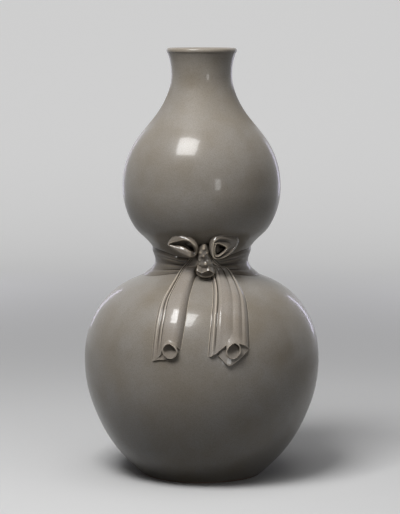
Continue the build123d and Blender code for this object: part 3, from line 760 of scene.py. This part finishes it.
def feldspathic_glaze(name, cool, warm, edge, pooled_glaze_and_shade, gloss=0.28, satin_z=None):
    """Clear feldspathic glaze over stoneware, fired glossy.

    To the eye it is a deep wet shine over a cloudy grey-brown that is finely speckled with iron.
    Over edges the glaze thins and the tan clay shows, and in grooves it pools darker; on the ribbon
    the lighter edge colour is also painted highlight, and the darker groove colour painted shade in
    its creases. The clouds are 35 mm, the specks 0.6 mm, which is coarser than real ones so that
    they show, and the surface waves slightly, every 16 mm, as thrown walls do. Where satin_z is
    given, the glaze is satin within 9 mm of that height, and fully glossy again 18 mm from it.
    """
    material, tree = new_material(name)
    place = add_node(tree, "ShaderNodeTexCoord").outputs["Object"]
    cloud = add_node(tree, "ShaderNodeTexNoise",
                     {"Scale": 1 / (35 * MM), "Detail": 4.0, "Roughness": 0.55}, {"Vector": place})
    tone = add_node(tree, "ShaderNodeValToRGB", {"stops": [(0.34, warm), (0.66, cool)]},
                    {"Fac": cloud.outputs["Fac"]})
    speck = add_node(tree, "ShaderNodeTexNoise", {"Scale": 1 / (0.6 * MM), "Detail": 1.0},
                     {"Vector": place})
    fleck = add_node(tree, "ShaderNodeValToRGB", {"stops": [(0.30, "#e9e6e3"), (0.60, "#ffffff")]},
                     {"Fac": speck.outputs["Fac"]})
    speckled = add_node(tree, "ShaderNodeMix", {"data_type": "RGBA", "blend_type": "MULTIPLY", 0: 1.0},
                        {6: tone.outputs["Color"], 7: fleck.outputs["Color"]})
    # The edge colour comes in from 0.16 to 0.75 per mm of curvature, for glaze that thins and, on the
    # ribbon, painted highlight; the groove colour from -0.08 to -0.45, for glaze that pools and painted
    # crease shade
    bend = add_node(tree, "ShaderNodeAttribute", {"attribute_name": "bend"}).outputs["Fac"]
    thin = add_node(tree, "ShaderNodeMapRange", {"From Min": 0.16, "From Max": 0.75}, {"Value": bend})
    deep = add_node(tree, "ShaderNodeMapRange", {"From Min": -0.08, "From Max": -0.45}, {"Value": bend})
    over_edges = add_node(tree, "ShaderNodeMix", {"data_type": "RGBA", 7: hex_colour(edge)},
                          {0: thin.outputs["Result"], 6: speckled.outputs[2]})
    colour = add_node(tree, "ShaderNodeMix", {"data_type": "RGBA", 7: hex_colour(pooled_glaze_and_shade)},
                      {0: deep.outputs["Result"], 6: over_edges.outputs[2]})
    wave = add_node(tree, "ShaderNodeTexNoise", {"Scale": 1 / (16 * MM), "Detail": 1.0},
                    {"Vector": place})
    bump = add_node(tree, "ShaderNodeBump", {"Strength": 0.2, "Distance": 0.4 * MM},
                    {"Height": wave.outputs["Fac"]}).outputs["Normal"]
    glassy, satin = 0.28, 0.55
    shader = add_node(tree, "ShaderNodeBsdfPrincipled",
                      {"Roughness": glassy, "IOR": 1.52, "Specular IOR Level": 0.26,
                       "Coat Weight": gloss, "Coat Roughness": 0.03, "Coat IOR": 1.5},
                      {"Base Color": colour.outputs[2], "Normal": bump, "Coat Normal": bump})
    if satin_z is not None:
        height = add_node(tree, "ShaderNodeSeparateXYZ", links={"Vector": place}).outputs["Z"]
        above = add_node(tree, "ShaderNodeMath", {"operation": "SUBTRACT", 1: satin_z}, {0: height})
        away = add_node(tree, "ShaderNodeMath", {"operation": "ABSOLUTE"}, {0: above.outputs[0]})
        for socket, dulled, wet in (("Coat Weight", 0.0, gloss), ("Roughness", satin, glassy)):
            fade = add_node(tree, "ShaderNodeMapRange",
                            {"interpolation_type": "SMOOTHSTEP", "From Min": 9 * MM,
                             "From Max": 18 * MM, "To Min": dulled, "To Max": wet},
                            {"Value": away.outputs[0]})
            tree.links.new(fade.outputs["Result"], shader.inputs[socket])
    add_node(tree, "ShaderNodeOutputMaterial", links={"Surface": shader.outputs["BSDF"]})
    return material


def bare_stoneware():
    """Unglazed stoneware, wiped clean before it was fired.

    To the eye it is a dry pinkish tan with a fine sandy grain, 0.7 mm, and no shine.
    """
    material, tree = new_material("bare_stoneware")
    place = add_node(tree, "ShaderNodeTexCoord").outputs["Object"]
    grain = add_node(tree, "ShaderNodeTexNoise", {"Scale": 1 / (0.7 * MM), "Detail": 3.0},
                     {"Vector": place}).outputs["Fac"]
    tone = add_node(tree, "ShaderNodeValToRGB", {"stops": [(0.35, "#8a7264"), (0.65, "#a99082")]},
                    {"Fac": grain})
    bump = add_node(tree, "ShaderNodeBump", {"Strength": 0.3, "Distance": 0.1 * MM}, {"Height": grain})
    shader = add_node(tree, "ShaderNodeBsdfPrincipled", {"Roughness": 0.8, "IOR": 1.5},
                      {"Base Color": tone.outputs["Color"], "Normal": bump.outputs["Normal"]})
    add_node(tree, "ShaderNodeOutputMaterial", links={"Surface": shader.outputs["BSDF"]})
    return material


pot_colours = ("#96918a", "#8c8478", "#a69a89", "#5d584a")
body_glaze = feldspathic_glaze("greige_feldspathic_glaze", *pot_colours)
neck_glaze = feldspathic_glaze("greige_glaze_round_neck", *pot_colours, satin_z=277 * MM)
# The sash's and the bow's copies of the glaze are darker than the body's, which is painted shade under
# the upper bulb; the bow's pale edge colour also paints highlight on its beads and rims.
sash_glaze_painted_shade = feldspathic_glaze("greige_glaze_on_sash_painted_shade", "#857f76", "#7b7268", "#9d907e", "#362f26")
bow_glaze_painted_shade_and_highlight = feldspathic_glaze("greige_glaze_on_bow_painted_shade_and_highlight", "#857f76", "#7b7268", "#b3a692", "#362f26",
                              gloss=0.8)
# The tails' copy of the glaze is lighter than the body's, which is painted sheen, and its pale edge
# colour paints highlight on the rims of the folds and scrolls.
tail_glaze_painted_sheen = feldspathic_glaze("greige_glaze_on_tails_painted_sheen", "#a19b94", "#968d82", "#c9bdac", "#40392e",
                               gloss=0.45)
thrown = {"lower_bowl": body_glaze, "lower_shoulder": body_glaze, "upper_bowl": body_glaze,
          "upper_shoulder": neck_glaze, "neck_and_lip": neck_glaze}
ribbon = {"waist_sash": sash_glaze_painted_shade, "bow_knot": bow_glaze_painted_shade_and_highlight, "knot_tongue": bow_glaze_painted_shade_and_highlight,
          "bow_loop_left": bow_glaze_painted_shade_and_highlight, "bow_loop_right": bow_glaze_painted_shade_and_highlight,
          "sash_tail_left": tail_glaze_painted_sheen, "sash_tail_right": tail_glaze_painted_sheen}
for name, piece in pieces.items():
    curvature_for_glaze_and_painted_light(piece, [belly_low, waist_z, belly_high, neck_seam] if name in thrown else [])
    piece.data.materials.append(thrown[name] if name in thrown else ribbon[name])
    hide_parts(name)
    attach(piece, "root")


def bare_foot():
    """Gives the foot ring and its bevel, the faces below the bevel's top, the bare clay."""
    mesh = pieces["lower_bowl"].data
    mesh.materials.append(bare_stoneware())
    centres = np.empty(len(mesh.polygons) * 3)
    mesh.polygons.foreach_get("center", centres)
    mesh.polygons.foreach_set("material_index", (centres[2::3] < foot_bevel).astype(np.int32))


bare_foot()


# Floor, backdrop, lamps and camera

def matt_paper():
    """Pale matt paper, coated to be even: to the eye a plain light grey without shine.

    Light that a matt surface scatters finds it dark, so that it hardly brightens the vase. Its glow
    fades in from 0.4 to 1.7 m away, so that the backdrop looks as pale as the floor.
    """
    material, tree = new_material("matt_paper")
    bounced = add_node(tree, "ShaderNodeLightPath").outputs["Is Diffuse Ray"]
    seen = add_node(tree, "ShaderNodeMix",
                    {"data_type": "RGBA", 6: hex_colour("#d4d4d4"), 7: hex_colour("#424242")},
                    {0: bounced})
    place = add_node(tree, "ShaderNodeTexCoord").outputs["Object"]
    away = add_node(tree, "ShaderNodeVectorMath", {"operation": "LENGTH"}, {0: place})
    glow = add_node(tree, "ShaderNodeMapRange",
                    {"interpolation_type": "SMOOTHSTEP", "From Min": 0.4, "From Max": 1.7,
                     "To Max": 0.45}, {"Value": away.outputs["Value"]})
    shown = add_node(tree, "ShaderNodeMix", {3: 0.0}, {0: bounced, 2: glow.outputs["Result"]})
    shader = add_node(tree, "ShaderNodeBsdfPrincipled",
                      {"Roughness": 0.9, "Specular IOR Level": 0.1,
                       "Emission Color": hex_colour("#f4f4f4")},
                      {"Base Color": seen.outputs[2], "Emission Strength": shown.outputs[0]})
    add_node(tree, "ShaderNodeOutputMaterial", links={"Surface": shader.outputs["BSDF"]})
    return material


def make_stage():
    """A pale floor that curves up into a backdrop, as one swept sheet."""
    front_edge, backdrop_y, top, bend, half_width = -9.0, 1.9, 3.0, 0.7, 9.0
    turn = np.linspace(0, np.pi / 2, 24)
    curve = np.stack([backdrop_y - bend + bend * np.sin(turn), bend - bend * np.cos(turn)], axis=1)
    line = np.concatenate([[(front_edge, 0)], curve, [(backdrop_y, top)]])
    across = np.array([-half_width, half_width])
    points = np.stack(np.broadcast_arrays(across, line[:, :1], line[:, 1:]), axis=-1).reshape(-1, 3)
    sheet = mesh_piece("backdrop", points, grid_faces(len(line), 2))
    del pieces["backdrop"]
    sheet.data.materials.append(matt_paper())


def lamp(name, azimuth, elevation, distance, width, height, level, roll=0.0, colour="#ffffff",
         mirrored=True):
    """A soft box that faces the waist; level is its share of plain light on a surface facing it.

    One that isn't mirrored gives light but no reflection of itself in the glaze.
    """
    data = bpy.data.lights.new(name, "AREA")
    data.shape = "RECTANGLE"
    data.size = width
    data.size_y = height
    data.energy = level * (math.pi * distance) ** 2
    data.color = hex_colour(colour)[:3]
    a, e = math.radians(azimuth), math.radians(elevation)
    back = Vector((math.sin(a) * math.cos(e), -math.cos(a) * math.cos(e), math.sin(e)))
    rolled = back.to_track_quat("Z", "Y") @ Quaternion((0, 0, 1), math.radians(roll))
    waist_height = 0.17
    item = bpy.data.objects.new(name, data)
    item.visible_glossy = mirrored
    item.location = Vector((0, 0, waist_height)) + back * distance
    item.rotation_euler = rolled.to_euler()
    bpy.context.scene.collection.objects.link(item)


def make_lights():
    """Soft boxes to the upper left, overhead and weakly in front, and two strips behind the rims."""
    lamp("key", -33, 57, 1.15, 0.51, 0.42, 0.93, roll=8)
    lamp("overhead", 25, 76, 1.2, 1.1, 1.1, 0.36, mirrored=False)
    lamp("front", 23, 7, 1.8, 0.26, 0.40, 0.07)
    lamp("rim_left", -158, 5, 1.25, 0.05, 0.46, 0.018, colour="#d9d6f2")
    lamp("rim_right", 152, 5, 1.25, 0.08, 0.46, 0.03, colour="#d9d6f2")
    world = bpy.data.worlds.new("studio")
    bpy.context.scene.world = world
    world.use_nodes = True
    background = world.node_tree.nodes["Background"]
    background.inputs["Color"].default_value = hex_colour("#f0f0f0")
    background.inputs["Strength"].default_value = 0.06


def make_camera():
    """The photo's camera, found from its perspective: 1.53 m off, 0.34 m up and 6.59 degrees down."""
    photo_height, focal_pixels = 514, 2046
    data = bpy.data.cameras.new("camera")
    data.sensor_width = 36
    data.lens = focal_pixels / photo_height * data.sensor_width
    data.clip_start = 0.05
    item = bpy.data.objects.new("camera", data)
    item.location = (-0.00127, -1.530, 0.340)
    item.rotation_euler = (math.radians(90 - 6.59), 0, 0)
    bpy.context.scene.collection.objects.link(item)
    bpy.context.scene.camera = item


make_stage()
make_lights()
make_camera()
bpy.context.scene.view_settings.view_transform = "Standard"
